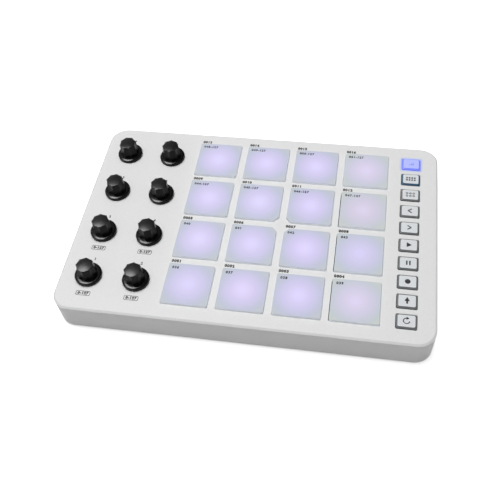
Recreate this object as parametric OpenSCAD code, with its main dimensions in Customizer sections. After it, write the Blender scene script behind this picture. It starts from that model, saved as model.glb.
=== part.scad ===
// Desktop pad controller: sixteen lit pads, eight endless knobs and a column of ten keys on a
// moulded housing. Millimetres. The origin lies under the middle of the housing, on the surface
// that the feet stand on. +X points to the right, +Y to the rear and +Z up.

/* [Layout] */
// Free strip between the left wall and the knob skirts
left_margin = 10.55; // [8.5:0.05:18]
// Free strip between the right wall and the keys
right_margin = 12.05; // [12:0.05:20]
// Free strip between the front or rear wall and the pads
end_margin = 10.5; // [9.5:0.05:18]
// Free strip between the two knob columns
knob_strip = 14.05; // [8:0.05:22]
// Free strip between the knobs and the pads
knob_to_pad = 10.1; // [8.5:0.05:20]
// Free strip between the pads and the keys
pad_to_key = 9.45; // [6:0.05:18]
// Free strip between the pad columns
pad_strip_x = 4.8; // [3.8:0.1:10]
// Free strip between the pad rows
pad_strip_y = 5.4; // [3.8:0.1:10]
// Free strip between the keys
key_strip = 4.05; // [3:0.05:5]
// How far the column of keys stands to the front of the middle of the pads
key_drop = 0.2; // [0:0.1:3]

/* [Housing] */
// Height of the housing wall
body_h = 21.5; // [19.5:0.5:30]
// Plan radius of the upright corners
corner_r = 12; // [8:0.5:16]
// Radius along the top edge
edge_r = 1.1; // [0.6:0.1:3]
// Chamfer along the bottom edge
base_chamfer = 0.3; // [0.2:0.1:1]
// Thickness of the upright walls
wall_t = 2.2; // [1.8:0.1:3]
// Thickness of the top panel
panel_t = 2.2; // [1.8:0.1:3]
// Diameter of the screw bosses under the panel
boss_d = 6.5; // [5.5:0.1:7.5]
// Inner wall face to the nearest boss axis, along the depth
boss_inset = 7.5; // [6:0.5:10]

/* [Bottom cover] */
// Thickness of the cover plate
cover_t = 2; // [1.6:0.1:3]
// Clearance between the cover and the walls
cover_gap = 0.2; // [0.1:0.05:0.4]
// Diameter of the posts that the long screws pass through
post_d = 8.5; // [7.6:0.1:9]
// Diameter of the plain pillars under the pads
pillar_d = 5; // [3:0.5:8]
// Height of the fence round the battery
fence_h = 3; // [1.5:0.5:4.5]
// Thickness of the fence round the battery
fence_t = 1.2; // [0.8:0.1:1.6]

/* [Feet] */
// Height of the feet below the cover
foot_h = 1.5; // [1:0.1:4]
// Diameter of a foot
foot_d = 12; // [8:0.5:16]
// Depth of the recess that holds a foot
foot_sink = 0.6; // [0.3:0.1:1]
// Side wall or end wall to the middle of a foot
foot_inset = 18; // [14:0.5:30]
// Rounding of a foot's lower edge
foot_round = 0.8; // [0.3:0.1:1]

/* [Pads] */
// Side of a pad
pad_size = 30.2; // [28:0.1:31]
// Corner radius of a pad
pad_corner_r = 1.1; // [0.8:0.1:3]
// Legs of the cut corner on the four middle pads
pad_cut = 3.2; // [3:0.1:8]
// Height of a pad above the panel
pad_proud = 1.5; // [0.6:0.1:4]
// Rounding of a pad's top edge
pad_edge_r = 0.4; // [0.2:0.1:0.7]
// Clearance between a pad and its window
pad_gap = 0.15; // [0.15:0.05:0.5]
// Width of the lip that holds a pad under the panel
pad_lip = 0.9; // [0.6:0.1:1.1]
// Thickness of that lip
pad_lip_t = 1.2; // [0.8:0.1:2]
// Wall of a pad round its light well
pad_wall = 4; // [2.5:0.5:8]
// Thickness of a pad over its light well
pad_skin = 2.6; // [1.5:0.1:4]
// How far a pad goes down
pad_travel = 0.6; // [0.4:0.1:1.5]

/* [Pad mat and sensor film] */
// Width of the outer rim of the mat
mat_rim = 2; // [1:0.1:3]
// Clearance between a pad's lip and the mat
mat_gap = 0.35; // [0.2:0.05:0.5]
// Thickness of the sensor film
film_t = 0.5; // [0.3:0.1:0.8]

/* [Keys] */
// Width of a key at its base
key_w = 12.4; // [11:0.1:14]
// Depth of a key at its base
key_d = 10; // [8:0.1:10.4]
// Corner radius of a key
key_corner_r = 0.6; // [0.3:0.1:1.5]
// Height of a key's upright base above the panel
key_base = 0.15; // [0.1:0.05:1]
// Height of a key's bevelled sides
key_bevel_h = 0.9; // [0.6:0.05:2.5]
// Width of a key's bevelled sides
key_bevel_w = 1.15; // [0.4:0.05:2]
// Clearance between a key and its window
key_gap = 0.25; // [0.1:0.05:0.3]
// Width of the lip that holds a key under the panel
key_lip = 0.8; // [0.5:0.1:1]
// Thickness of that lip
key_lip_t = 1; // [0.8:0.1:1.5]
// Diameter of the pin under a key
key_pin_d = 3; // [2:0.1:4]
// How far a key goes down
key_travel = 0.8; // [0.3:0.1:1.2]
// Side of a key's switch
switch_w = 6.2; // [5.6:0.1:7]
// Middle of a key to its switch
switch_shift = 2; // [1.5:0.1:2.5]

/* [Knobs] */
// Diameter of the skirt
skirt_d = 17.6; // [14:0.2:22]
// Height of the skirt's upright rim
rim_h = 1.8; // [0.5:0.1:2]
// Rise of the skirt's sloped top
slope_h = 0.7; // [0.4:0.1:2]
// Panel to the underside of the skirt
skirt_gap = 0.3; // [0.2:0.1:1.5]
// Height of the knob's top above the panel
knob_h = 12.6; // [11:0.1:16]
// Grip diameter over the corners at the top
grip_d = 11.6; // [10:0.1:12]
// Extra grip diameter at the skirt
grip_draft = 1.2; // [0:0.1:1.4]
// Depth of each hollow flat below the corners
flat_depth = 0.5; // [0.48:0.02:0.9]
// Width of the land left at each corner
corner_land = 0.4; // [0.2:0.05:0.8]
// Chamfer of the knob's top edge
knob_chamfer = 0.3; // [0.1:0.05:0.6]

/* [Encoders] */
// Side of an encoder's body
encoder_w = 12; // [11:0.1:13]
// Height of an encoder's body
encoder_h = 6.5; // [5.8:0.1:8]
// Clearance between an encoder's body and the panel
encoder_gap = 0.3; // [0.2:0.1:1]
// Diameter of the shafts
shaft_d = 6; // [5:0.1:6.4]
// Thickness of a shaft across its flat
shaft_flat = 4.5; // [4:0.1:4.8]
// Length of a shaft's flat
flat_l = 7; // [5:0.5:8]
// Running clearance round a shaft
shaft_gap = 0.05; // [0.02:0.01:0.08]
// Wall of the bushing round a shaft
bushing_wall = 0.6; // [0.5:0.05:0.8]
// Height of a bushing above the panel
bushing_proud = 1; // [0.6:0.1:1.4]
// Clearance between a bushing and its hole in the panel
hole_gap = 0.3; // [0.15:0.05:0.6]

/* [Board] */
// Thickness of the circuit board
board_t = 1.6; // [1.2:0.1:2]
// Clearance between the board and the walls
board_gap = 1; // [0.5:0.1:2]
// Side of a lamp
led_w = 3.5; // [2:0.1:4]
// Height of a lamp
led_h = 1; // [0.6:0.1:1.6]
// Middle of a key to its lamp
led_shift = 4; // [3.8:0.1:4.6]

/* [Screws] */
// Diameter of the screws
screw_d = 3; // [2.5:0.1:3.4]
// Diameter of the screw heads
head_d = 5.5; // [4.6:0.1:6]
// Height of the screw heads
head_h = 1.8; // [1.4:0.1:2.4]
// Length of a screw in its boss
screw_bite = 5; // [3:0.5:6]

/* [Rear sockets] */
// Middle of the housing to the middle of the USB socket
usb_x = -12; // [-40:1:-8]
// Width of the socket's shell
usb_w = 8.94; // [8.5:0.02:9.4]
// Height of the socket's shell
usb_h = 3.26; // [3:0.02:3.6]
// Length of the socket
usb_l = 7.35; // [6.5:0.05:9]
// Sheet thickness of the socket's shell
usb_shell = 0.3; // [0.2:0.05:0.4]
// Middle of the housing to the middle of the power switch
power_x = 14; // [8:1:40]
// Width of the power slider
slider_w = 3; // [2:0.1:4]
// Height of the power slider
slider_h = 1.6; // [1:0.1:2.2]
// How far the power slider moves
slider_travel = 2; // [1:0.1:3]

/* [Battery] */
// Width of the cell
battery_w = 40; // [30:1:42]
// Length of the cell
battery_l = 60; // [40:1:70]
// Thickness of the cell
battery_t = 5; // [3:0.5:5.5]
// Diameter of the battery wires
wire_d = 1.2; // [0.8:0.1:1.6]
// Spacing of the battery wires
wire_pitch = 2; // [1.8:0.1:3]
// Distance from the cell to the connector that the wires run to
wire_run = 12; // [9:0.5:18]

/* [Hidden] */
$fn = 64;

// Counts that make the object what it is
pad_cols = 4;
pad_rows = 4;
pad_count = pad_cols * pad_rows;
knob_cols = 2;
knob_count = knob_cols * pad_rows;
key_count = 10;
grip_sides = 8;

// Small clearances: a held piece below its seat, a moving piece above its stop, a screw in its hole
// and in its thread, a slider in its channel, a cell in its fence, a socket in its wall, the film
// round a lamp, a foot in its recess
rest_gap = 0.1;
stop_gap = 0.1;
screw_gap = 0.2;
thread_gap = 0.03;
slide_gap = 0.2;
fence_gap = 0.4;
socket_gap = 0.3;
lamp_gap = 0.4;
foot_gap = 0.2;
// How far a cut runs past the face that it opens
over = 1;

// Plan of the housing, from its contents outwards. The knob rows share the spacing of the pad rows
knob_pitch = skirt_d + knob_strip;
pad_pitch_x = pad_size + pad_strip_x;
pad_pitch_y = pad_size + pad_strip_y;
key_pitch = key_d + key_strip;
body_w = left_margin + skirt_d + knob_pitch * (knob_cols - 1) + knob_to_pad
       + pad_size + pad_pitch_x * (pad_cols - 1) + pad_to_key + key_w + right_margin;
body_d = 2 * end_margin + pad_size + pad_pitch_y * (pad_rows - 1);
inner_w = body_w - 2 * wall_t;
inner_d = body_d - 2 * wall_t;
inner_r = corner_r - wall_t;
function knob_x(col) = -body_w / 2 + left_margin + skirt_d / 2 + knob_pitch * col;
function pad_x(col) = knob_x(knob_cols - 1) + skirt_d / 2 + knob_to_pad + pad_size / 2 + pad_pitch_x * col;
function row_y(row) = pad_pitch_y * (row - (pad_rows - 1) / 2);
key_x = body_w / 2 - right_margin - key_w / 2;
function key_y(key) = key_pitch * ((key_count - 1) / 2 - key) - key_drop;
function pad_spot(i) = [pad_x(i % pad_cols), row_y(floor(i / pad_cols))];
function knob_spot(i) = [knob_x(i % knob_cols), row_y(floor(i / knob_cols))];
// The side of a middle pad that faces the middle of the block, as -1 or 1, and 0 for an outer pad
function inward(n, count) = n == count / 2 - 1 ? 1 : n == count / 2 ? -1 : 0;
function pad_corner(i) = [inward(i % pad_cols, pad_cols), inward(floor(i / pad_cols), pad_rows)];

// Heights, from the panel downwards and from the feet upwards
top_z = foot_h + body_h;
panel_under = top_z - panel_t;
board_top = panel_under - encoder_gap - encoder_h;
board_under = board_top - board_t;
film_top = board_top + film_t;
cover_top = foot_h + cover_t;
lip_top = panel_under - rest_gap;
pad_top = top_z + pad_proud;
pad_bottom = film_top + pad_travel + stop_gap;
key_lip_under = lip_top - key_lip_t;
switch_top = key_lip_under - key_travel - stop_gap;
key_pin_end = switch_top - key_travel - stop_gap;
switch_floor = key_pin_end - key_travel - stop_gap;
encoder_floor = 1.6;
shaft_bottom = board_top + encoder_floor;
skirt_under = top_z + skirt_gap;
knob_top = top_z + knob_h;
knob_roof = 1.6;
shaft_top = knob_top - knob_roof;

// Bushings, the holes round them and the recess that a knob leaves over them
bushing_top = top_z + bushing_proud;
bushing_d = shaft_d + 2 * (shaft_gap + bushing_wall);
bushing_hole_d = bushing_d + 2 * hole_gap;
bushing_room = 1;

// Pad mat, which the sensor film shares its outline with
mat_reach = pad_size / 2 + pad_lip + mat_gap + mat_rim;
mat_w = pad_pitch_x * (pad_cols - 1) + 2 * mat_reach;
mat_d = pad_pitch_y * (pad_rows - 1) + 2 * mat_reach;
mat_x = (pad_x(0) + pad_x(pad_cols - 1)) / 2;

// Screws stand midway in the free strips beside the encoders, the mat and the keys
boss_y = inner_d / 2 - boss_inset;
left_boss_x = (-inner_w / 2 + knob_x(0) - encoder_w / 2) / 2;
mid_boss_x = (knob_x(knob_cols - 1) + encoder_w / 2 + mat_x - mat_w / 2) / 2;
right_boss_x = (key_x + key_w / 2 + key_lip + inner_w / 2) / 2;
cover_spots = [for (x = [left_boss_x, right_boss_x], side = [-1, 0, 1]) [x, side * boss_y]];
board_spots = [for (side = [-1, 0, 1]) [mid_boss_x, side * boss_y]];
pillar_spots = [
  for (col = [0 : pad_cols - 2], row = [0, pad_rows - 2])
    [(pad_x(col) + pad_x(col + 1)) / 2, (row_y(row) + row_y(row + 1)) / 2]
];
foot_spots = [
  for (side = [-1, 1], end = [-1, 1])
    [side * (body_w / 2 - foot_inset), end * (body_d / 2 - foot_inset)]
];
head_sink = 0.2;
counterbore = head_h + head_sink;

// Rear sockets hang from the board and face the rear wall
rear_outer = body_d / 2;
rear_inner = inner_d / 2;
usb_mouth = rear_outer - socket_gap;
usb_z = board_under - usb_h / 2;
usb_back = 1;
tongue_sink = 1;
tongue_side = 0.82;
tongue_t = 0.7;
channel_w = slider_w + slider_travel + 2 * slide_gap;
channel_h = slider_h + 2 * slide_gap;
channel_depth = 2;
power_wall = 0.8;
power_cheek = 1.8;
power_back = 2;
power_body_w = channel_w + 2 * power_cheek;
power_body_h = channel_h + 2 * power_wall;
power_body_d = channel_depth + power_back;
power_face = rear_inner - socket_gap;
power_z = board_under - power_body_h / 2;
groove_w = 0.4;
groove_depth = 0.25;
groove_spot = slider_w / 5;
finger_depth = 1;
finger_side = 2.8;
finger_rim = 1.3;

// Battery and its wires
battery_x = (knob_x(0) + knob_x(knob_cols - 1)) / 2;
battery_corner_r = 2;
plug_w = 8;
plug_l = 6;
plug_h = 4.8;
wire_start = cover_top + battery_t / 2;
wire_end = board_under - plug_h / 2;
wire_rise = wire_end - wire_start;
wire_lead = 2;
wire_sides = 8;
wire_steps = 10;
plug_face = battery_l / 2 + wire_run;

// Chips under the board as width, depth and height
processor = [12, 12, 1.4];
radio = [18, 24, 2.4];
charger = [5, 5, 0.9];

// Names of the nodes
function two_digits(i) = str(i < 10 ? "0" : "", i);
PADS = [for (i = [1 : pad_count]) str("pad_", two_digits(i))];
KNOBS = [for (i = [1 : knob_count]) str("knob_", i)];
SHAFTS = [for (i = [1 : knob_count]) str("encoder_shaft_", i)];
KEYS = [for (i = [1 : key_count]) str("key_", two_digits(i))];

// A rectangle with round corners
module rounded(w, d, r) {
  square([w - 2 * r, d], center = true);
  square([w, d - 2 * r], center = true);
  for (x = [-1, 1], y = [-1, 1])
    translate([x * (w / 2 - r), y * (d / 2 - r)]) circle(r);
}

// A slot with half-round ends
module stadium(w, h) {
  square([w - h, h], center = true);
  for (x = [-1, 1]) translate([x * (w - h) / 2, 0]) circle(d = h);
}

// Half section of a block: a radius along the top edge and a chamfer along the bottom edge
module edge_section(reach, h, radius, chamfer) {
  polygon([
    [0, 0], [reach - chamfer, 0], [reach, chamfer],
    [reach, h - radius], [reach - radius, h], [0, h]
  ]);
  translate([reach - radius, h - radius]) circle(radius);
}

// A block with round corners, whose edge section runs along the sides and turns at the corners
module soft_block(w, d, h, r, radius, chamfer) {
  flat_w = w - 2 * r;
  flat_d = d - 2 * r;
  translate([-flat_w / 2, -flat_d / 2, 0]) cube([flat_w, flat_d, h]);
  for (half = [0, 180]) rotate(half) {
    translate([flat_w / 2, flat_d / 2, 0])
      rotate([90, 0, 0]) linear_extrude(flat_d) edge_section(r, h, radius, chamfer);
    translate([-flat_w / 2, flat_d / 2, 0])
      rotate([90, 0, 90]) linear_extrude(flat_w) edge_section(r, h, radius, chamfer);
    translate([flat_w / 2, flat_d / 2, 0])
      rotate_extrude(angle = 90) edge_section(r, h, radius, chamfer);
    translate([-flat_w / 2, flat_d / 2, 0])
      rotate(90) rotate_extrude(angle = 90) edge_section(r, h, radius, chamfer);
  }
}

// What the cut corner takes off a pad's outline that is grown by some clearance
module corner_cut(corner, grow) {
  half = pad_size / 2 + grow;
  leg = pad_cut + grow * (2 - sqrt(2));
  if (corner[0] != 0 && corner[1] != 0)
    translate([corner[0] * half, corner[1] * half])
      rotate(45) square(leg * sqrt(2), center = true);
}

// Outline of a pad, its lip, its window or its pocket
module pad_outline(corner, grow) {
  difference() {
    rounded(pad_size + 2 * grow, pad_size + 2 * grow, pad_corner_r + grow);
    corner_cut(corner, grow);
  }
}

// Holes through the top panel: pad windows, key windows and shaft holes
module panel_holes() {
  translate([0, 0, panel_under - over]) linear_extrude(panel_t + 2 * over) {
    for (i = [0 : pad_count - 1]) translate(pad_spot(i)) pad_outline(pad_corner(i), pad_gap);
    for (k = [0 : key_count - 1])
      translate([key_x, key_y(k)])
        rounded(key_w + 2 * key_gap, key_d + 2 * key_gap, key_corner_r + key_gap);
  }
  for (i = [0 : knob_count - 1])
    translate(concat(knob_spot(i), panel_under - over))
      cylinder(d = bushing_hole_d, h = panel_t + 2 * over);
}

// Openings in the rear wall: the socket's slot, the slider's slot and its finger recess
module rear_holes() {
  translate([usb_x, rear_outer + over, usb_z])
    rotate([90, 0, 0]) linear_extrude(wall_t + 2 * over)
      stadium(usb_w + 2 * socket_gap, usb_h + 2 * socket_gap);
  translate([power_x, rear_outer + over, power_z]) rotate([90, 0, 0]) {
    linear_extrude(wall_t + 2 * over) square([channel_w, channel_h], center = true);
    linear_extrude(finger_depth + over)
      stadium(channel_w + 2 * finger_side, channel_h + 2 * finger_rim);
  }
}

// White moulded shell: panel, walls and screw bosses
module top_housing() color("whitesmoke") difference() {
  union() {
    difference() {
      translate([0, 0, foot_h]) soft_block(body_w, body_d, body_h, corner_r, edge_r, base_chamfer);
      translate([0, 0, foot_h - over])
        linear_extrude(panel_under - foot_h + over) rounded(inner_w, inner_d, inner_r);
      panel_holes();
      rear_holes();
    }
    for (spot = concat(cover_spots, board_spots))
      translate(concat(spot, board_top)) cylinder(d = boss_d, h = panel_under - board_top);
  }
  for (spot = concat(cover_spots, board_spots))
    translate(concat(spot, board_top - over))
      cylinder(d = screw_d + 2 * thread_gap, h = screw_bite + stop_gap + over);
}

// Plate that closes the housing, with screw posts, pillars under the pads and a fence for the cell
module bottom_cover() color("dimgray") difference() {
  union() {
    translate([0, 0, foot_h]) linear_extrude(cover_t)
      rounded(inner_w - 2 * cover_gap, inner_d - 2 * cover_gap, inner_r - cover_gap);
    for (spot = cover_spots)
      translate(concat(spot, cover_top)) cylinder(d = post_d, h = board_under - cover_top);
    for (spot = pillar_spots)
      translate(concat(spot, cover_top)) cylinder(d = pillar_d, h = board_under - cover_top);
    translate([battery_x, 0, cover_top]) linear_extrude(fence_h) difference() {
      rounded(battery_w + 2 * (fence_gap + fence_t), battery_l + 2 * (fence_gap + fence_t),
              battery_corner_r + fence_gap + fence_t);
      rounded(battery_w + 2 * fence_gap, battery_l + 2 * fence_gap, battery_corner_r + fence_gap);
      translate([0, battery_l / 2]) square([battery_w / 2, battery_l / 2], center = true);
    }
  }
  for (spot = cover_spots) translate(concat(spot, foot_h - over)) {
    cylinder(d = screw_d + 2 * screw_gap, h = board_under - foot_h + 2 * over);
    cylinder(d = head_d + 2 * screw_gap, h = counterbore + over);
  }
  for (spot = foot_spots)
    translate(concat(spot, foot_h - over)) cylinder(d = foot_d + 2 * foot_gap, h = foot_sink + over);
}

// Four feet, pressed into recesses of the cover
module rubber_feet() color("black") for (spot = foot_spots)
  translate(concat(spot, 0)) rotate_extrude() {
    translate([0, foot_round]) square([foot_d / 2, foot_h + foot_sink - foot_round]);
    square([foot_d / 2 - foot_round, foot_h]);
    translate([foot_d / 2 - foot_round, foot_round]) circle(foot_round);
  }

// A pan-head screw whose head bears upwards at height z
module screw(z, length) {
  translate([0, 0, z - head_h]) cylinder(d = head_d, h = head_h);
  translate([0, 0, z]) cylinder(d = screw_d, h = length);
}

// Long screws through cover, posts and board into the bosses
module housing_screws() color("silver") for (spot = cover_spots)
  translate(spot) screw(foot_h + counterbore, board_top + screw_bite - foot_h - counterbore);

// Short screws from the underside of the board into the bosses
module board_screws() color("silver") for (spot = board_spots)
  translate(spot) screw(board_under, board_t + screw_bite);

// Circuit board, held between bosses and posts
module main_board() color("darkgreen") difference() {
  translate([0, 0, board_under]) linear_extrude(board_t)
    rounded(inner_w - 2 * board_gap, inner_d - 2 * board_gap, inner_r - board_gap);
  for (spot = concat(cover_spots, board_spots))
    translate(concat(spot, board_under - over))
      cylinder(d = screw_d + 2 * screw_gap, h = board_t + 2 * over);
}

// Silicone lattice between the pads, from the sensor film up to the panel
module pad_mat() color("gainsboro") translate([0, 0, film_top])
  linear_extrude(panel_under - film_top) difference() {
    translate([mat_x, 0]) square([mat_w, mat_d], center = true);
    for (i = [0 : pad_count - 1])
      translate(pad_spot(i)) pad_outline(pad_corner(i), pad_lip + mat_gap);
  }

// Force-sensing film on the board, open over each lamp
module sensor_film() color("goldenrod") translate([0, 0, board_top])
  linear_extrude(film_t) difference() {
    translate([mat_x, 0]) square([mat_w, mat_d], center = true);
    for (i = [0 : pad_count - 1])
      translate(pad_spot(i)) square(led_w + 2 * lamp_gap, center = true);
  }

// Lamps on the board: one under each pad and one beside each key's switch
module board_leds() color("lavender") translate([0, 0, board_top]) linear_extrude(led_h) {
  for (i = [0 : pad_count - 1]) translate(pad_spot(i)) square(led_w, center = true);
  for (k = [0 : key_count - 1])
    translate([key_x - led_shift, key_y(k)]) square(led_w, center = true);
}

// Rotary encoders: a square body and a bushing, with one well for the shaft
module encoder_bodies() color("gray") for (i = [0 : knob_count - 1])
  translate(knob_spot(i)) difference() {
    union() {
      translate([0, 0, board_top]) linear_extrude(encoder_h) square(encoder_w, center = true);
      translate([0, 0, board_top]) cylinder(d = bushing_d, h = bushing_top - board_top);
    }
    translate([0, 0, shaft_bottom - stop_gap])
      cylinder(d = shaft_d + 2 * shaft_gap, h = bushing_top - shaft_bottom + over);
  }

// Push switches: a square body with a well that guides the key's pin
module key_switches() color("darkslategray") for (k = [0 : key_count - 1])
  translate([key_x + switch_shift, key_y(k), 0]) difference() {
    translate([0, 0, board_top]) linear_extrude(switch_top - board_top)
      square(switch_w, center = true);
    translate([0, 0, switch_floor])
      cylinder(d = key_pin_d + 2 * slide_gap, h = switch_top - switch_floor + over);
  }

// USB socket: a folded shell with a contact tongue
module usb_socket() color("silver") translate([usb_x, usb_mouth, usb_z]) rotate([90, 0, 0]) {
  linear_extrude(usb_l) difference() {
    stadium(usb_w, usb_h);
    stadium(usb_w - 2 * usb_shell, usb_h - 2 * usb_shell);
  }
  translate([0, 0, usb_l - usb_back]) linear_extrude(usb_back) stadium(usb_w, usb_h);
  translate([0, 0, tongue_sink]) linear_extrude(usb_l - tongue_sink)
    square([usb_w - 2 * (usb_shell + tongue_side), tongue_t], center = true);
}

// Body of the power switch, with the channel that its slider runs in
module power_switch() color("dimgray") translate([power_x, power_face, power_z])
  rotate([90, 0, 0]) difference() {
    linear_extrude(power_body_d) square([power_body_w, power_body_h], center = true);
    translate([0, 0, -over]) linear_extrude(channel_depth + over)
      square([channel_w, channel_h], center = true);
  }

// Slider of the power switch, ribbed for a fingernail, at the left end of its travel
module power_slider() color("black")
  translate([power_x - slider_travel / 2, rear_outer - rest_gap, power_z])
    rotate([90, 0, 0]) difference() {
      linear_extrude(rear_outer - rest_gap - power_face + channel_depth - slide_gap)
        square([slider_w, slider_h], center = true);
      for (side = [-1, 1]) translate([side * groove_spot, 0, 0])
        cube([groove_w, slider_h + over, 2 * groove_depth], center = true);
    }

// Flat lithium cell in its fence
module battery() color("silver") translate([battery_x, 0, cover_top])
  linear_extrude(battery_t) rounded(battery_w, battery_l, battery_corner_r);

// One wire as a swept tube: straight out of the cell, up in a smooth S and straight into the connector
module wire() {
  reach = wire_run - 2 * wire_lead;
  // Each ring as distance from the cell, height and slope
  rings = concat(
    [[0, 0, 0]],
    [for (step = [0 : wire_steps]) let (t = step / wire_steps)
      [wire_lead + t * reach, wire_rise * t * t * (3 - 2 * t), atan(wire_rise * 6 * t * (1 - t) / reach)]],
    [[wire_run, wire_rise, 0]]
  );
  points = [
    for (ring = rings, side = [0 : wire_sides - 1])
      let (turn = 360 * side / wire_sides, lift = wire_d / 2 * sin(turn))
        [wire_d / 2 * cos(turn), ring[0] - lift * sin(ring[2]), ring[1] + lift * cos(ring[2])]
  ];
  last = (len(rings) - 1) * wire_sides;
  skin = [
    for (ring = [0 : len(rings) - 2], side = [0 : wire_sides - 1])
      let (a = ring * wire_sides + side, b = ring * wire_sides + (side + 1) % wire_sides)
        each [[a, b, b + wire_sides], [a, b + wire_sides, a + wire_sides]]
  ];
  caps = [
    for (side = [1 : wire_sides - 2])
      each [[0, side + 1, side], [last, last + side, last + side + 1]]
  ];
  polyhedron(points, concat(skin, caps));
}

// Two wires between the cell and its connector
module battery_lead() color("crimson") for (side = [-1, 1])
  translate([battery_x + side * wire_pitch / 2, battery_l / 2, wire_start]) wire();

// Connector under the board that the battery wires enter
module battery_socket() color("ivory")
  translate([battery_x, plug_face + plug_l / 2, board_under - plug_h])
    linear_extrude(plug_h) square([plug_w, plug_l], center = true);

// One chip under the board
module chip(spot, size) {
  translate(concat(spot, board_under - size[2]))
    linear_extrude(size[2]) square([size[0], size[1]], center = true);
}

// Processor between the pillars, radio module beside the keys and charger before the socket
module control_chips() color("darkslategray") {
  chip([pad_x(pad_cols - 2), 0], processor);
  chip([key_x - key_w, row_y(pad_rows - 1)], radio);
  chip([usb_x, row_y(pad_rows - 1)], charger);
}

// Pad: soft edges, a lip under the panel and a light well from below
module pad(i) color("lavender") translate(pad_spot(i)) difference() {
  union() {
    translate([0, 0, pad_bottom]) difference() {
      soft_block(pad_size, pad_size, pad_top - pad_bottom, pad_corner_r, pad_edge_r, pad_edge_r);
      translate([0, 0, -over])
        linear_extrude(pad_top - pad_bottom + 2 * over) corner_cut(pad_corner(i), 0);
    }
    translate([0, 0, lip_top - pad_lip_t])
      linear_extrude(pad_lip_t) pad_outline(pad_corner(i), pad_lip);
  }
  well = pad_size - 2 * pad_wall;
  translate([0, 0, pad_bottom - over]) linear_extrude(pad_top - pad_skin - pad_bottom + over)
    rounded(well, well, pad_corner_r);
}

// Trapezium that one pair of a key's bevelled sides leaves standing
module bevel_section(w) {
  polygon([
    [-w / 2, 0], [w / 2, 0], [w / 2 - key_bevel_w, key_bevel_h], [-w / 2 + key_bevel_w, key_bevel_h]
  ]);
}

// Key: bevelled cap, lip under the panel and a pin down into its switch
module key(k) color("lightgray") translate([key_x, key_y(k), 0]) {
  base_top = top_z + key_base;
  translate([0, 0, lip_top]) linear_extrude(base_top - lip_top) rounded(key_w, key_d, key_corner_r);
  translate([0, 0, base_top]) intersection() {
    linear_extrude(key_bevel_h) rounded(key_w, key_d, key_corner_r);
    rotate([90, 0, 0]) linear_extrude(key_d, center = true) bevel_section(key_w);
    rotate([90, 0, 90]) linear_extrude(key_w, center = true) bevel_section(key_d);
  }
  translate([0, 0, key_lip_under]) linear_extrude(key_lip_t)
    rounded(key_w + 2 * key_lip, key_d + 2 * key_lip, key_corner_r + key_lip);
  translate([switch_shift, 0, key_pin_end])
    cylinder(d = key_pin_d, h = key_lip_under - key_pin_end);
}

// Round shaft of a given size with its flat, from z upwards to the knob's roof
module flatted_shaft(grow, z) {
  difference() {
    translate([0, 0, z]) cylinder(d = shaft_d + 2 * grow, h = shaft_top - z);
    translate([shaft_flat - shaft_d / 2 + grow, -shaft_d, shaft_top - flat_l])
      cube([shaft_d, 2 * shaft_d, flat_l + over]);
  }
}

// Knob: eight hollow flats on a grip that stands on a thin round skirt
module knob(i) color("black") translate(knob_spot(i)) {
  rim_top = skirt_under + rim_h;
  grip_foot = rim_top + slope_h;
  corner_r_top = grip_d / 2;
  corner_r_foot = corner_r_top + grip_draft / 2;
  // Each flat is a cylinder through the inner ends of two corner lands and the middle of the flat, and
  // leans with the corners
  half_turn = 180 / grip_sides - asin(corner_land / 2 / corner_r_top);
  chord = corner_r_top * sin(half_turn);
  sag = corner_r_top * cos(half_turn) - corner_r_top + flat_depth;
  hollow_r = (chord * chord + sag * sag) / (2 * sag);
  hollow_x = corner_r_top - flat_depth + hollow_r;
  lean = atan((corner_r_foot - corner_r_top) / (knob_top - grip_foot));
  difference() {
    union() {
      rotate_extrude() polygon([
        [0, skirt_under], [skirt_d / 2, skirt_under], [skirt_d / 2, rim_top],
        [corner_r_foot, grip_foot], [0, grip_foot]
      ]);
      difference() {
        rotate_extrude() polygon([
          [0, rim_top], [corner_r_foot, rim_top], [corner_r_foot, grip_foot],
          [corner_r_top, knob_top - knob_chamfer], [corner_r_top - knob_chamfer, knob_top],
          [0, knob_top]
        ]);
        for (side = [0 : grip_sides - 1])
          rotate((side + 0.5) * 360 / grip_sides) translate([hollow_x, 0, knob_top])
            rotate([0, -lean, 0]) translate([0, 0, rim_top - knob_top])
              cylinder(r = hollow_r, h = knob_top - rim_top + 3 * over);
      }
    }
    flatted_shaft(shaft_gap, skirt_under - over);
    translate([0, 0, skirt_under - over])
      cylinder(d = bushing_hole_d, h = bushing_top + bushing_room - skirt_under + over);
  }
}

// Encoder shaft, from the floor of its well up into the knob
module encoder_shaft(i) color("silver") translate(knob_spot(i)) flatted_shaft(0, shaft_bottom);

top_housing();
bottom_cover();
rubber_feet();
housing_screws();
board_screws();
main_board();
pad_mat();
sensor_film();
board_leds();
encoder_bodies();
key_switches();
usb_socket();
power_switch();
power_slider();
battery();
battery_lead();
battery_socket();
control_chips();
for (i = [0 : pad_count - 1]) pad(i);
for (i = [0 : knob_count - 1]) knob(i);
for (i = [0 : knob_count - 1]) encoder_shaft(i);
for (i = [0 : key_count - 1]) key(i);
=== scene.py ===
import math

import bmesh
import bpy
from mathutils import Matrix, Quaternion, Vector


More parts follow.
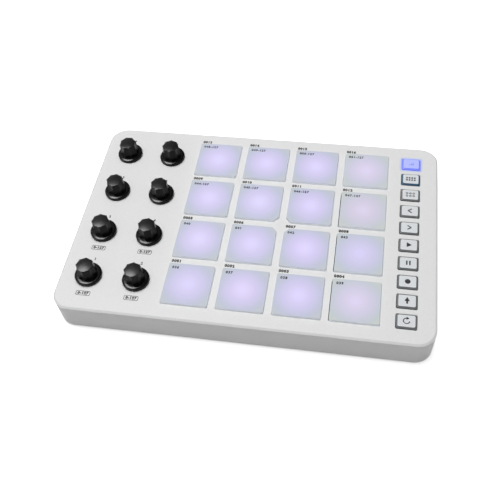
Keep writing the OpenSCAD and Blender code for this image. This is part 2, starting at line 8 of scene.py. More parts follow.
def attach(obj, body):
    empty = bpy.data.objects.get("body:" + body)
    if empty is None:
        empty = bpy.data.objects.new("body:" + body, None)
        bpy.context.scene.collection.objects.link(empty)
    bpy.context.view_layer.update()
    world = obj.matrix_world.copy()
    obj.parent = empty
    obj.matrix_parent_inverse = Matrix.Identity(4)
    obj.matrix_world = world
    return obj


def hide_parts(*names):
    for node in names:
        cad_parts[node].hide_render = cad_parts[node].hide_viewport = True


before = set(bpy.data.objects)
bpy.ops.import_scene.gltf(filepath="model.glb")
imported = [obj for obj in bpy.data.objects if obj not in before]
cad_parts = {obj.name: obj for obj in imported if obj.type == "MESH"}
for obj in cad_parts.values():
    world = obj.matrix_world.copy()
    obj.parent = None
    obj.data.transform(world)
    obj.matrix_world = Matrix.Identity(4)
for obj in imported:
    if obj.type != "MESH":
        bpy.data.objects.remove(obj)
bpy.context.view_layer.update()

# Camera
# It looks down on the front of the controller from a little to the right, through a normal lens, and
# is tilted about its own axis, so the front edge falls to the right.
aim, distance = Vector((0.000302, -0.02207, 0.02327)), 0.4465
azimuth, elevation, roll, lens_angle = (math.radians(a) for a in (14.0, 54.23, -6.19, 40.0))
outward = Vector((
    math.sin(azimuth) * math.cos(elevation),
    -math.cos(azimuth) * math.cos(elevation),
    math.sin(elevation),
))


def new_object(name, data):
    """Returns an object that is in the scene."""
    made = bpy.data.objects.new(name, data)
    bpy.context.scene.collection.objects.link(made)
    return made


camera = new_object("camera", bpy.data.cameras.new("camera"))
camera.data.angle = lens_angle
camera.location = aim + outward * distance
camera.rotation_mode = "QUATERNION"
camera.rotation_quaternion = outward.to_track_quat("Z", "Y") @ Quaternion((0, 0, 1), roll)
bpy.context.scene.camera = camera
bpy.context.scene.view_settings.view_transform = "Standard"


# Table and light
# A sheet of white paper in a dim studio. A wide softbox overhead and a weak low one in front give the
# light, and one on the left shows in gloss alone. The paper is pure white where nothing shades it.
def linear(hex_colour):
    """Turns an sRGB hex colour into the linear values that a shader socket takes."""
    channels = [int(hex_colour[i : i + 2], 16) / 255 for i in (1, 3, 5)]
    return [c / 12.92 if c <= 0.04045 else ((c + 0.055) / 1.055) ** 2.4 for c in channels] + [1]


def add_node(owner, kind, inputs=None, **settings):
    """Adds a shader node with its settings, and sets its inputs or links them to a node or socket."""
    node = owner.node_tree.nodes.new("ShaderNode" + kind)
    for name, value in settings.items():
        setattr(node, name, value)
    for name, value in (inputs or {}).items():
        source = value.outputs[0] if isinstance(value, bpy.types.Node) else value
        if isinstance(source, bpy.types.NodeSocket):
            owner.node_tree.links.new(source, node.inputs[name])
        else:
            node.inputs[name].default_value = source
    return node


def new_material(name):
    """Returns a material with an empty node tree."""
    material = bpy.data.materials.new(name)
    material.use_nodes = True
    material.node_tree.nodes.clear()
    return material


def seen_rays(owner):
    """Adds a node that is 1 for rays that show the paper to the camera, also through gloss or glass."""
    path = add_node(owner, "LightPath")
    direct = add_node(owner, "Math", {
        0: path.outputs["Is Camera Ray"], 1: path.outputs["Is Glossy Ray"],
    }, operation="MAXIMUM")
    return add_node(owner, "Math", {0: direct, 1: path.outputs["Is Transmission Ray"]}, operation="MAXIMUM")


# The fibres of the paper are drawn as flecks of 2.5 mm, because finer ones would not show
paper_fleck, paper_glow, table_half = 2.5, 0.6, 6.0
paper = new_material("white_paper")
paper_fibre = add_node(paper, "TexNoise", {
    "Vector": add_node(paper, "TexCoord").outputs["Object"], "Scale": 1000 / paper_fleck, "Detail": 3.0,
})
paper_tone = add_node(paper, "ValToRGB", {0: paper_fibre.outputs["Fac"]})
paper_tone.color_ramp.elements[0].color = linear("#B9B9B9")
paper_tone.color_ramp.elements[1].color = linear("#BEBEBE")
paper_shade = add_node(paper, "BsdfDiffuse", {"Color": paper_tone})
paper_white = add_node(paper, "AddShader", {
    0: add_node(paper, "BsdfDiffuse", {"Color": linear("#FFFFFF")}),
    1: add_node(paper, "Emission", {"Strength": paper_glow}),
})
paper_surface = add_node(paper, "MixShader", {0: seen_rays(paper), 1: paper_shade, 2: paper_white})
add_node(paper, "OutputMaterial", {"Surface": paper_surface})

sheet = bmesh.new()
bmesh.ops.create_grid(sheet, x_segments=1, y_segments=1, size=table_half)
table_mesh = bpy.data.meshes.new("table_paper")
sheet.to_mesh(table_mesh)
sheet.free()
table_mesh.materials.append(paper)
table_paper = new_object("table_paper", table_mesh)

# The paper's white rises behind the table to a little above the horizon, and over it the studio is dim.
# In gloss the left side of the studio is bright and the right side dark.
studio_fill, gloss_dim, gloss_bright = 0.245, 0.12, 1.6
horizon_fade, side_fade = (0.1, 0.45), (-0.7, 0.4)
studio = bpy.data.worlds.new("studio")
studio.use_nodes = True
studio.node_tree.nodes.clear()
studio_level = add_node(studio, "MapRange", {
    "Value": seen_rays(studio), "To Min": studio_fill, "To Max": 1.0,
})
studio_ray = add_node(studio, "SeparateXYZ", {0: add_node(studio, "TexCoord").outputs["Generated"]})
studio_mirrored = add_node(studio, "MapRange", {
    "Value": studio_ray.outputs["Z"], "From Min": horizon_fade[0], "From Max": horizon_fade[1],
    "To Min": 1.0, "To Max": gloss_dim,
}, interpolation_type="SMOOTHSTEP")
studio_side = add_node(studio, "MapRange", {
    "Value": studio_ray.outputs["X"], "From Min": side_fade[0], "From Max": side_fade[1],
    "To Min": gloss_bright, "To Max": gloss_dim,
}, interpolation_type="SMOOTHSTEP")
studio_gloss = add_node(studio, "Math", {0: studio_mirrored, 1: studio_side}, operation="MULTIPLY")
studio_strength = add_node(studio, "Mix", {
    0: add_node(studio, "LightPath").outputs["Is Glossy Ray"],
    2: studio_level, 3: studio_gloss,
})
studio_air = add_node(studio, "Background", {"Color": linear("#FFFFFF"), "Strength": studio_strength})
add_node(studio, "OutputWorld", {"Surface": studio_air})
bpy.context.scene.world = studio

for name, place, size, power, mirrored in (
    ("softbox_overhead", (-0.12, 0.10, 1.10), 0.6, 9.1, False),
    ("softbox_left", (-0.50, 0.12, 1.12), 0.5, 6.0, True),
    ("softbox_low", (-0.25, -1.0, 0.35), 0.4, 0.4, False),
):
    lamp = bpy.data.lights.new(name, "AREA")
    lamp.size, lamp.energy = size, power
    lamp_object = new_object(name, lamp)
    lamp_object.location = place
    lamp_object.visible_glossy, lamp_object.visible_diffuse = mirrored, not mirrored
    lamp_object.rotation_mode = "QUATERNION"
    lamp_object.rotation_quaternion = Vector(place).to_track_quat("Z", "Y")

# Top housing
# One white shell, injection moulded in ABS with a fine eroded grain. Its top edge is chamfered, and the
# windows for pads and keys and the holes for the encoders have a small radius at the surface.
body_w, body_d, body_h, foot_h = 239.0, 158.0, 21.5, 1.5
corner_r, edge_w, edge_h, edge_soft, base_chamfer, wall, panel = 12.0, 1.25, 0.95, 0.08, 0.3, 2.2, 2.2
top_z = foot_h + body_h
panel_under = top_z - panel
board_top, board_under = 14.0, 12.4
window_round, pad_window_round, arc_middle = 0.25, 0.06, 0.3
pad_columns, pad_rows = (-34.5, 0.5, 35.5, 70.5), (-53.4, -17.8, 17.8, 53.4)
pad_half, pad_corner, pad_cut, cut_soft, pad_gap = 15.1, 1.1, 3.2, 0.5, 0.15
pad_spots = [(c, r, x, y) for r, y in enumerate(pad_rows) for c, x in enumerate(pad_columns)]
knob_columns, knob_hole_r = (-100.15, -68.5), 3.95
knob_spots = [(x, y) for y in pad_rows for x in knob_columns]
key_x, key_half, key_corner, key_gap = 101.25, (6.2, 5.0), 0.6, 0.25
key_count, key_pitch, key_shift = 10, 14.05, -0.2
key_rows = [key_pitch * ((key_count - 1) / 2 - key) + key_shift for key in range(key_count)]
# Heights within this of each other are one level, and a normal past this share faces along its axis
near, square_on = 0.01, 0.999


def cut_corner(column, row):
    """Returns the corner that is cut off a pad, as signs of X and Y, or None."""
    inward = {1: 1, 2: -1}
    return (inward[column], inward[row]) if column in inward and row in inward else None


def bevel(bm, geom, size, segments, affect="EDGES"):
    """Chamfers or rounds edges or vertices, and returns the new vertices."""
    return bmesh.ops.bevel(
        bm, geom=geom, offset=size, segments=segments, profile=0.5, affect=affect, material=-1
    )["verts"]


def square_loop(bm, centre, half, radius, cut=None, cut_leg=0.0, turn=Matrix()):
    """Draws a rectangle with round corners as a loop of edges, one corner cut off if it is named."""
    old_edges, old_faces = set(bm.edges), set(bm.faces)
    place = Matrix.Translation(centre) @ turn
    corners = bmesh.ops.create_grid(
        bm, x_segments=1, y_segments=1, size=1.0, matrix=place @ Matrix.Diagonal((*half, 1, 1))
    )["verts"]
    sharp = [v for v in corners if cut and all((v.co - Vector(centre))[a] * cut[a] > 0 for a in (0, 1))]
    plain = [v for v in corners if v not in sharp]
    if sharp:
        bevel(bm, bevel(bm, sharp, cut_leg, 1, "VERTICES"), cut_soft, 4, "VERTICES")
    bevel(bm, plain, radius, 6, "VERTICES")
    bmesh.ops.delete(bm, geom=[f for f in bm.faces if f not in old_faces], context="FACES_ONLY")
    return [e for e in bm.edges if e not in old_edges]


def circle_loop(bm, centre, radius, segments=48):
    """Draws a circle as a loop of edges."""
    old = set(bm.edges)
    bmesh.ops.create_circle(bm, segments=segments, radius=radius, matrix=Matrix.Translation(centre))
    return [e for e in bm.edges if e not in old]


def extrude_loop(bm, edges):
    """Extrudes a loop on the spot and returns the vertices and edges of the new loop."""
    made = bmesh.ops.extrude_edge_only(bm, edges=edges)["geom"]
    verts = {g for g in made if isinstance(g, bmesh.types.BMVert)}
    return verts, [g for g in made if isinstance(g, bmesh.types.BMEdge) and set(g.verts) <= verts]


def carry(bm, edges, centre, half, steps, along=2):
    """Extrudes a loop along an axis, through steps of (growth beyond half, place) from where it is."""
    across = [axis for axis in range(3) if axis != along]
    for (grown, start), (grow, end) in zip(steps, steps[1:]):
        verts, edges = extrude_loop(bm, edges)
        scale, offset = Vector((1, 1, 1)), Vector()
        for axis, reach in zip(across, half):
            scale[axis] = (reach + grow) / (reach + grown)
        offset[along] = end - start
        bmesh.ops.scale(bm, vec=scale, space=Matrix.Translation(-Vector(centre)), verts=list(verts))
        bmesh.ops.translate(bm, vec=offset, verts=list(verts))
    return edges


def fill(bm, edges, normal=(0, 0, 1)):
    """Closes flat loops, the inner ones as holes."""
    bmesh.ops.triangle_fill(bm, use_beauty=True, edges=edges, normal=normal)


def close(bm, edges):
    """Closes one loop with a face."""
    bmesh.ops.edgeloop_fill(bm, edges=edges)


def paint_new(bm, old, slot_number):
    """Gives a material slot to the faces that are not among the old ones."""
    for face in bm.faces:
        if face not in old:
            face.material_index = slot_number


def finish_piece(bm, name, body, materials, replaced=(), crease=32, flat_faces=True):
    """Makes a mesh in millimetres into a piece that rides on a body."""
    bmesh.ops.remove_doubles(bm, verts=bm.verts, dist=0.0005)
    bmesh.ops.recalc_face_normals(bm, faces=bm.faces)
    bmesh.ops.scale(bm, vec=(0.001, 0.001, 0.001), verts=bm.verts)
    for face in bm.faces:
        face.smooth = True
    for edge in bm.edges:
        edge.smooth = edge.calc_face_angle(0) < math.radians(crease)
    mesh = bpy.data.meshes.new(name)
    bm.to_mesh(mesh)
    bm.free()
    for material in materials:
        mesh.materials.append(material)
    piece = new_object(name, mesh)
    if flat_faces:
        piece.modifiers.new("flat_faces", "WEIGHTED_NORMAL").keep_sharp = True
    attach(piece, body)
    if replaced:
        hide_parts(*replaced)
    return piece


def grained(name, low, high, grain, gloss, bump=0.0, sockets=None):
    """A solid material whose colour and gloss waver over a grain in millimetres."""
    material = new_material(name)
    noise = add_node(material, "TexNoise", {
        "Vector": add_node(material, "TexCoord").outputs["Object"],
        "Scale": 1000 / grain, "Detail": 2.0, "Roughness": 0.6,
    }).outputs["Fac"]
    tone = add_node(material, "ValToRGB", {0: noise})
    for stop, place, colour in zip(tone.color_ramp.elements, (0.3, 0.7), (low, high)):
        stop.position, stop.color = place, linear(colour)
    rough = add_node(material, "MapRange", {
        "Value": noise, "From Min": 0.3, "From Max": 0.7, "To Min": gloss[0], "To Max": gloss[1],
    })
    relief = add_node(material, "Bump", {"Height": noise, "Strength": bump, "Distance": 0.0001})
    surface = add_node(material, "BsdfPrincipled", {
        "Base Color": tone, "Roughness": rough, "Normal": relief, **(sockets or {}),
    })
    add_node(material, "OutputMaterial", {"Surface": surface})
    return material


# Eroded ABS scatters light softly: no mirror image, a broad sheen, and a grain of about 0.3 mm that is
# drawn at 0.9 mm because finer would not show.
white_abs = grained("moulded_white_abs", "#E4E4E4", "#E9E9E9", 0.9, (0.48, 0.58), 0.06, {"IOR": 1.52})

# The first key's light on the panel is painted: for a few millimetres round its window the panel's colour
# turns blue
painted_spill_reach, painted_spill_share = 2.4, 0.75
from_key = add_node(white_abs, "VectorMath", {
    0: add_node(white_abs, "TexCoord").outputs["Object"],
    1: (key_x / 1000, key_rows[0] / 1000, top_z / 1000),
}, operation="SUBTRACT")
key_side = add_node(white_abs, "VectorMath", {0: from_key}, operation="ABSOLUTE")
past_key = add_node(white_abs, "VectorMath", {
    0: key_side, 1: (key_half[0] / 1000, key_half[1] / 1000, 0),
}, operation="SUBTRACT")
off_key = add_node(white_abs, "VectorMath", {0: past_key, 1: (0, 0, 0)}, operation="MAXIMUM")
key_distance = add_node(white_abs, "VectorMath", {0: off_key}, operation="LENGTH")
painted_spill = add_node(white_abs, "MapRange", {
    "Value": key_distance.outputs["Value"], "From Max": painted_spill_reach / 1000,
    "To Min": painted_spill_share, "To Max": 0.0,
}, interpolation_type="SMOOTHSTEP")
white_surface = next(n for n in white_abs.node_tree.nodes if n.type == "BSDF_PRINCIPLED")
# Painted light: the panel's base colour is mixed towards blue near the lit key
painted_spill_colour = add_node(white_abs, "Mix", {
    "Factor": painted_spill, "A": white_surface.inputs["Base Color"].links[0].from_socket,
    "B": linear("#B4C4FF"),
}, data_type="RGBA")
white_abs.node_tree.links.new(painted_spill_colour.outputs["Result"], white_surface.inputs["Base Color"])

shell = bmesh.new()
bmesh.ops.create_cube(
    shell, size=1.0,
    matrix=Matrix.Translation((0, 0, foot_h + body_h / 2)) @ Matrix.Diagonal((body_w, body_d, body_h, 1)),
)
uprights = [e for e in shell.edges if abs(e.verts[0].co.z - e.verts[1].co.z) > near]
bevel(shell, uprights, corner_r, 18)
for level, size, segments in (
    (top_z, edge_w, 1), (top_z, edge_soft, 2), (top_z - edge_w, edge_soft, 2), (foot_h, base_chamfer, 1),
):
    rim = [e for e in shell.edges if all(abs(v.co.z - level) < near for v in e.verts)]
    bevel(shell, rim, size, segments)
# The chamfer is wider than it is high
low_rim = [v for v in shell.verts if abs(v.co.z - (top_z - edge_w)) < 2 * edge_soft]
bmesh.ops.translate(shell, vec=(0, 0, edge_w - edge_h), verts=low_rim)
lids = [f for f in shell.faces if abs(f.normal.z) > square_on and len(f.verts) > 4]
top_edges = [e for f in lids if f.normal.z > 0 for e in f.edges]
low_edges = [e for f in lids if f.normal.z < 0 for e in f.edges]
rear_wall = max((f for f in shell.faces if f.normal.y > square_on), key=lambda f: f.calc_area())
rear_edges = list(rear_wall.edges)
bmesh.ops.delete(shell, geom=lids + [rear_wall], context="FACES_ONLY")

outer_faces = set(shell.faces)
inner_half = (body_w / 2 - wall, body_d / 2 - wall)
inner_low = square_loop(shell, (0, 0, foot_h), inner_half, corner_r - wall)
inner_top = carry(shell, inner_low, (0, 0, 0), inner_half, [(0, foot_h), (0, panel_under)])
inner_rear = max((f for f in shell.faces if f not in outer_faces), key=lambda f: f.calc_center_median().y)
inner_rear_edges = list(inner_rear.edges)
bmesh.ops.delete(shell, geom=[inner_rear], context="FACES_ONLY")
fill(shell, low_edges + inner_low)


def window_steps(soft):
    """Returns the steps of a window through the panel whose edge at the surface has a small radius."""
    inset = soft * arc_middle
    return [(soft, top_z), (inset, top_z - inset), (0, top_z - soft), (0, panel_under)]


# Three windows of the last pad column are a little wide on their left, where a dark gap shows. The cut
# corner of a window is longer than its pad's, which keeps the gap even.
wide_windows, wide_by, cut_grow = {(3, 0), (3, 1), (3, 2)}, 0.16, 0.12
under_edges = list(inner_top)
for column, row, x, y in pad_spots:
    spare = wide_by if (column, row) in wide_windows else 0
    spot, reach = (x - spare, y, top_z), (pad_half + pad_gap + spare, pad_half + pad_gap)
    loop = square_loop(
        shell, spot, [r + pad_window_round for r in reach], pad_corner + pad_gap + pad_window_round,
        cut_corner(column, row), pad_cut + cut_grow,
    )
    top_edges += loop
    under_edges += carry(shell, loop, spot, reach, window_steps(pad_window_round))
for y in key_rows:
    reach = [h + key_gap for h in key_half]
    loop = square_loop(
        shell, (key_x, y, top_z), [r + window_round for r in reach], key_corner + key_gap + window_round
    )
    top_edges += loop
    under_edges += carry(shell, loop, (key_x, y, 0), reach, window_steps(window_round))
for x, y in knob_spots:
    loop = circle_loop(shell, (x, y, top_z), knob_hole_r + window_round)
    top_edges += loop
    under_edges += carry(shell, loop, (x, y, 0), (knob_hole_r,) * 2, window_steps(window_round))

# Bosses for the screws stand under the panel
left_boss, middle_boss, right_boss, boss_rows = -111.725, -57.675, 112.775, (-69.3, 0, 69.3)
boss_r, bore_r, bore_depth = 3.25, 1.53, 5.1
for x in (left_boss, middle_boss, right_boss):
    for y in boss_rows:
        root = circle_loop(shell, (x, y, panel_under), boss_r, 24)
        under_edges += root
        bore_end = carry(shell, root, (x, y, 0), (boss_r,) * 2, [
            (0, panel_under), (0, board_top), (bore_r - boss_r, board_top),
            (bore_r - boss_r, board_top + bore_depth),
        ])
        close(shell, bore_end)
fill(shell, top_edges)
fill(shell, under_edges)

# The rear wall has a slot for the socket, and a slot in a finger recess for the power slider
rear, rear_inner = body_d / 2, body_d / 2 - wall
usb_x, usb_z, usb_slot = -12.0, 10.77, (4.77, 1.93)
power_x, power_z, power_slot, finger_half, finger_depth = 14.0, 10.6, (2.7, 1.0), (5.5, 2.3), 1.0
slot_soft, slot_corner = 0.2, 0.2
upright = Matrix.Rotation(math.radians(90), 4, "X")


def rear_loop(bm, x, y, z, half, radius):
    """Draws an upright rectangle with round corners that faces the rear."""
    return square_loop(bm, (x, y, z), half, radius, turn=upright)


usb_grown = [h + slot_soft for h in usb_slot]
usb_outer = rear_loop(shell, usb_x, rear, usb_z, usb_grown, usb_grown[1] - near)
usb_inner = carry(shell, usb_outer, (usb_x, rear, usb_z), usb_slot, [
    (slot_soft, rear), (0, rear - slot_soft), (0, rear_inner),
], along=1)
finger_grown = [h + slot_soft for h in finger_half]
finger_outer = rear_loop(shell, power_x, rear, power_z, finger_grown, finger_grown[1] - near)
finger_floor = carry(shell, finger_outer, (power_x, rear, power_z), finger_half, [
    (slot_soft, rear), (0, rear - slot_soft), (-slot_soft, rear - finger_depth),
], along=1)
slot_outer = rear_loop(shell, power_x, rear - finger_depth, power_z, power_slot, slot_corner)
slot_inner = carry(shell, slot_outer, (power_x, rear, power_z), power_slot, [
    (0, rear - finger_depth), (0, rear_inner),
], along=1)
fill(shell, rear_edges + usb_outer + finger_outer, (0, 1, 0))
fill(shell, finger_floor + slot_outer, (0, 1, 0))
fill(shell, inner_rear_edges + usb_inner + slot_inner, (0, 1, 0))
finish_piece(shell, "housing_shell", "chassis", [white_abs], ["top_housing"])

# Printed marks on the panel
# Dark ink, pad printed on the housing: a number over each pad and beside each knob, and the range of
# the first four knobs in a rounded frame.
ink_height, capital_share = 0.02, 0.69
number_h, number_at, knob_number_h, knob_number_at = 1.9, (-14.5, 17.6), 1.8, (0.4, 13.05)
range_h, framed_knobs = 1.75, 4
frame_half, frame_corner, frame_line, frame_drop = (4.7, 1.7), 0.9, 0.3, 13.4
# Pad printing ink is thin and dry, with a slightly broken edge. The same black is also painted shade on the
# lips of three pads.
dark_ink_and_painted_shade = grained("black_ink_and_painted_shade", "#0A0A0B", "#161618", 0.6, (0.55, 0.65), 0.0, {"IOR": 1.48})


def print_text(bm, words, height, place, slot_number, bold=0.0, spread=1.0, centred=False):
    """Adds printed characters of a given capital height, from the left or centred, to a mesh."""
    curve = bpy.data.curves.new("characters", "FONT")
    curve.body, curve.size, curve.extrude = words, height / capital_share, ink_height
    curve.offset, curve.resolution_u, curve.space_character = bold, 3, spread
    curve.align_x, curve.align_y = ("CENTER" if centred else "LEFT"), "CENTER"
    draft = new_object("characters", curve)
    bpy.context.view_layer.update()
    letters = draft.evaluated_get(bpy.context.evaluated_depsgraph_get()).to_mesh()
    letters.transform(Matrix.Translation(place))
    drawn = set(bm.faces)
    bm.from_mesh(letters)
    paint_new(bm, drawn, slot_number)
    bpy.data.objects.remove(draft)
    bpy.data.curves.remove(curve)


marks = bmesh.new()
for number, (column, row, x, y) in enumerate(pad_spots, 1):
    spot = (x + number_at[0], y + number_at[1], top_z)
    print_text(marks, f"{number:04d}", number_h, spot, 0, bold=0.18, spread=1.2)
for number, (x, y) in enumerate(knob_spots, 1):
    spot = (x + knob_number_at[0], y + knob_number_at[1], top_z)
    print_text(marks, f"{number}", knob_number_h, spot, 0, bold=0.12, centred=True)
    if number <= framed_knobs:
        y -= frame_drop
        print_text(marks, "0-127", range_h, (x, y, top_z), 0, bold=0.17, spread=1.2, centred=True)
        line = square_loop(marks, (x, y, top_z), frame_half, frame_corner)
        carry(marks, line, (x, y, 0), frame_half, [
            (0, top_z), (0, top_z + ink_height), (-frame_line, top_z + ink_height), (-frame_line, top_z),
        ])
finish_piece(marks, "panel_print", "chassis", [dark_ink_and_painted_shade], flat_faces=False)

# Pads
# Sixteen squares of frosted silicone, each moulded with a lip that keeps it under the panel and a well
# below for its lamp. The lamp's violet light fades from the middle of the pad to its edge.
pad_bottom, pad_top, pad_lip, pad_lip_t, lip_gap = 15.2, 24.5, 0.9, 1.2, 0.1
lip_top = panel_under - lip_gap
pad_edge, pad_wall, pad_skin, steep = 0.4, 4.0, 2.6, 0.3
note_h, note_at, first_note = 1.7, (-12.6, 11.7), 36
pad_ink_and_painted_shade, pad_side = 1, 2

# Silicone is soft and matt, with a slight waxy sheen. The fine dust of its moulded skin is drawn at
# 0.8 mm, and the lamp's light follows the pad's own map, in shares of the pad's side.
silicone_grain = 0.8
silicone = new_material("frosted_silicone_lit")
across = add_node(silicone, "UVMap", uv_map="across_pad")
from_middle = add_node(silicone, "VectorMath", {
    0: across, 1: (0.5, 0.5, 0.0),
}, operation="DISTANCE").outputs["Value"]
silicone_dust = add_node(silicone, "TexNoise", {
    "Vector": add_node(silicone, "TexCoord").outputs["Object"],
    "Scale": 1000 / silicone_grain, "Detail": 2.0, "Roughness": 0.55,
})
silicone_tone = add_node(silicone, "ValToRGB", {0: from_middle})
for spot, colour in ((0.0, "#C3C7D9"), (0.42, "#C5CADA"), (0.68, "#CACFD6")):
    silicone_tone.color_ramp.elements.new(spot).color = linear(colour)
silicone_glow = add_node(silicone, "ValToRGB", {0: from_middle})
for spot, colour in ((0.0, "#856EA4"), (0.066, "#836BA0"), (0.131, "#7D6397"), (0.197, "#745889"),
                     (0.262, "#6A4C82"), (0.361, "#583D70"), (0.459, "#392754"), (0.525, "#12123A"),
                     (0.6, "#08080A"), (0.75, "#000000")):
    silicone_glow.color_ramp.elements.new(spot).color = linear(colour)
for ramp in (silicone_tone.color_ramp, silicone_glow.color_ramp):
    ramp.interpolation = "CARDINAL"
    ramp.elements.remove(ramp.elements[-1])
    ramp.elements.remove(ramp.elements[0])
skin_tint = add_node(silicone, "Attribute", attribute_name="skin_tint")
silicone_skin = add_node(silicone, "VectorMath", {
    0: silicone_tone, 1: skin_tint.outputs["Vector"],
}, operation="MULTIPLY")
lamp_tint = add_node(silicone, "Attribute", attribute_name="lamp_tint")
silicone_light = add_node(silicone, "VectorMath", {
    0: silicone_glow, 1: lamp_tint.outputs["Vector"],
}, operation="MULTIPLY")
silicone_bump = add_node(silicone, "Bump", {
    "Height": silicone_dust.outputs["Fac"], "Strength": 0.06, "Distance": 0.0001,
})
silicone_gloss = add_node(silicone, "MapRange", {
    "Value": silicone_dust.outputs["Fac"], "To Min": 0.5, "To Max": 0.66,
})
silicone_surface = add_node(silicone, "BsdfPrincipled", {
    "Base Color": silicone_skin, "Roughness": silicone_gloss, "IOR": 1.41, "Normal": silicone_bump,
    "Emission Color": silicone_light, "Emission Strength": 1.0,
})
add_node(silicone, "OutputMaterial", {"Surface": silicone_surface})

# The sides are given an even grey glow, painted light that makes them look nearly as bright as the rim of
# the face
silicone_side = grained("frosted_silicone_side", "#C4C9D1", "#CBD0D6", silicone_grain, (0.5, 0.66), 0.06, {
    "IOR": 1.41, "Emission Color": linear("#7E7F82"), "Emission Strength": 1.0,
})

# The lamps differ a little in strength, and those of the last column are weaker and redder
lamp_tints = {
    1: (0.92, 0.9, 0.91), 2: (1.08, 1.0, 0.98), 4: (0.88, 0.7, 0.75), 5: (1.06, 1.05, 0.99),
    7: (1.08, 1.02, 1.06), 8: (0.75, 0.65, 0.84), 10: (1.0, 1.08, 1.0), 12: (0.78, 0.6, 0.61),
    16: (0.86, 0.69, 0.73),
}
# The silicone of that column is a little yellower
skin_tints = {
    4: (1.05, 1.07, 0.97), 8: (1.02, 1.04, 0.99), 12: (1.07, 1.07, 0.97), 16: (1.06, 1.07, 0.98),
}
plain_tint = (1.0, 1.0, 1.0)
for number, (column, row, x, y) in enumerate(pad_spots, 1):
    pad = bmesh.new()
    half, spot, cut = (pad_half, pad_half), (x, y, 0), cut_corner(column, row)
    base = square_loop(pad, (x, y, pad_bottom), (pad_half - pad_edge,) * 2, pad_corner, cut, pad_cut)
    crown = [(-pad_edge * (1 - math.sin(t)), pad_top - pad_edge * (1 - math.cos(t)))
             for t in (math.radians(a) for a in (90, 60, 30, 0))]
    crown_edge = carry(pad, base, spot, half, [
        (-pad_edge, pad_bottom), (0, pad_bottom + pad_edge), (0, lip_top - pad_lip_t),
        (pad_lip, lip_top - pad_lip_t), (pad_lip, lip_top), (0, lip_top),
    ] + crown)
    close(pad, crown_edge)
    well = carry(pad, base, spot, half, [
        (-pad_edge, pad_bottom), (-pad_wall, pad_bottom), (-pad_wall, pad_top - pad_skin),
    ])
    close(pad, well)
    note = f"{first_note + number - 1:03d}"
    words = note if row < 2 else f"{note}-127"
    note_spot = (x + note_at[0], y + note_at[1], pad_top)
    print_text(pad, words, note_h, note_spot, pad_ink_and_painted_shade, bold=0.12, spread=1.25)
    across_pad = pad.loops.layers.uv.new("across_pad")
    tint = pad.faces.layers.float_vector.new("lamp_tint")
    skin = pad.faces.layers.float_vector.new("skin_tint")
    pad.normal_update()
    for face in pad.faces:
        face[tint] = lamp_tints.get(number, plain_tint)
        face[skin] = skin_tints.get(number, plain_tint)
        heights = [v.co.z for v in face.verts]
        on_lip = min(heights) > lip_top - pad_lip_t - near and max(heights) < lip_top + near
        # The lips under the three wide windows take the black: painted shade at the bottom of their gaps
        if on_lip and (column, row) in wide_windows:
            face.material_index = pad_ink_and_painted_shade
        elif face.material_index != pad_ink_and_painted_shade and abs(face.normal.z) < steep:
            face.material_index = pad_side
        for corner in face.loops:
            share = (corner.vert.co.xy - Vector((x, y))) / (2 * pad_half)
            corner[across_pad].uv = share + Vector((0.5, 0.5))
    name = f"pad_{number:02d}"
    finishes = [silicone, dark_ink_and_painted_shade, silicone_side]
    finish_piece(pad, f"silicone_{name}", name, finishes, [name])

# Keys
# Ten small caps of smoky clear plastic with bevelled sides and a pale printed face. They drop into
# their windows from below and stand on push switches. The first one is lit blue by its lamp.
key_base, key_bevel, key_bevel_h, key_lip, key_lip_t = 0.15, 1.15, 0.9, 0.8, 1.0
key_pin_r, key_pin_end, switch_shift, key_haze = 1.5, 17.9, 2.0, 2.0
key_foot = top_z + key_base
key_top = key_foot + key_bevel_h
# The rim where bevel and face meet: steps outside the bevel's line, and below the face
key_rim = ((0.2, 0.157), (0.05, 0.04), (-0.14, 0.0))
cap_face, cap_legend = 1, 2


def smoky(name, low, middle, high, glow=None):
    """Clear smoky acrylic, with painted shade that darkens the foot of the bevel and a painted highlight
    along its top.
    """
    material = new_material(name)
    place = add_node(material, "TexCoord").outputs["Object"]
    height = add_node(material, "SeparateXYZ", {0: place}).outputs["Z"]
    share = add_node(material, "MapRange", {
        "Value": height, "From Min": top_z / 1000, "From Max": key_top / 1000,
    })
    tone = add_node(material, "ValToRGB", {0: share})
    tone.color_ramp.elements[0].color = linear(low)
    tone.color_ramp.elements[1].color = linear(high)
    for spot, colour in ((0.2, middle), (0.86, middle), (0.95, high)):
        tone.color_ramp.elements.new(spot).color = linear(colour)
    cloud = add_node(material, "TexNoise", {"Vector": place, "Scale": 1000 / key_haze, "Detail": 1.0})
    gloss = add_node(material, "MapRange", {"Value": cloud.outputs["Fac"], "To Min": 0.16, "To Max": 0.26})
    inputs = {"Base Color": tone, "Roughness": gloss, "IOR": 1.49}
    if glow:
        inputs.update({"Emission Color": linear(glow), "Emission Strength": 1.0})
    surface = add_node(material, "BsdfPrincipled", inputs)
    add_node(material, "OutputMaterial", {"Surface": surface})
    return material


smoky_grey = smoky("smoky_acrylic", "#34363A", "#727577", "#F0F2F4")
# The second key's sides are painted blue, with a faint blue glow: painted light from the first key
smoky_painted_blue_spill = smoky("smoky_acrylic_painted_blue_spill", "#14242E", "#3E5C72", "#DCE6EE", "#070E16")
smoky_lit = smoky("acrylic_lit_blue", "#5A66C0", "#6A76CC", "#B0B8F0", "#5A62B4")
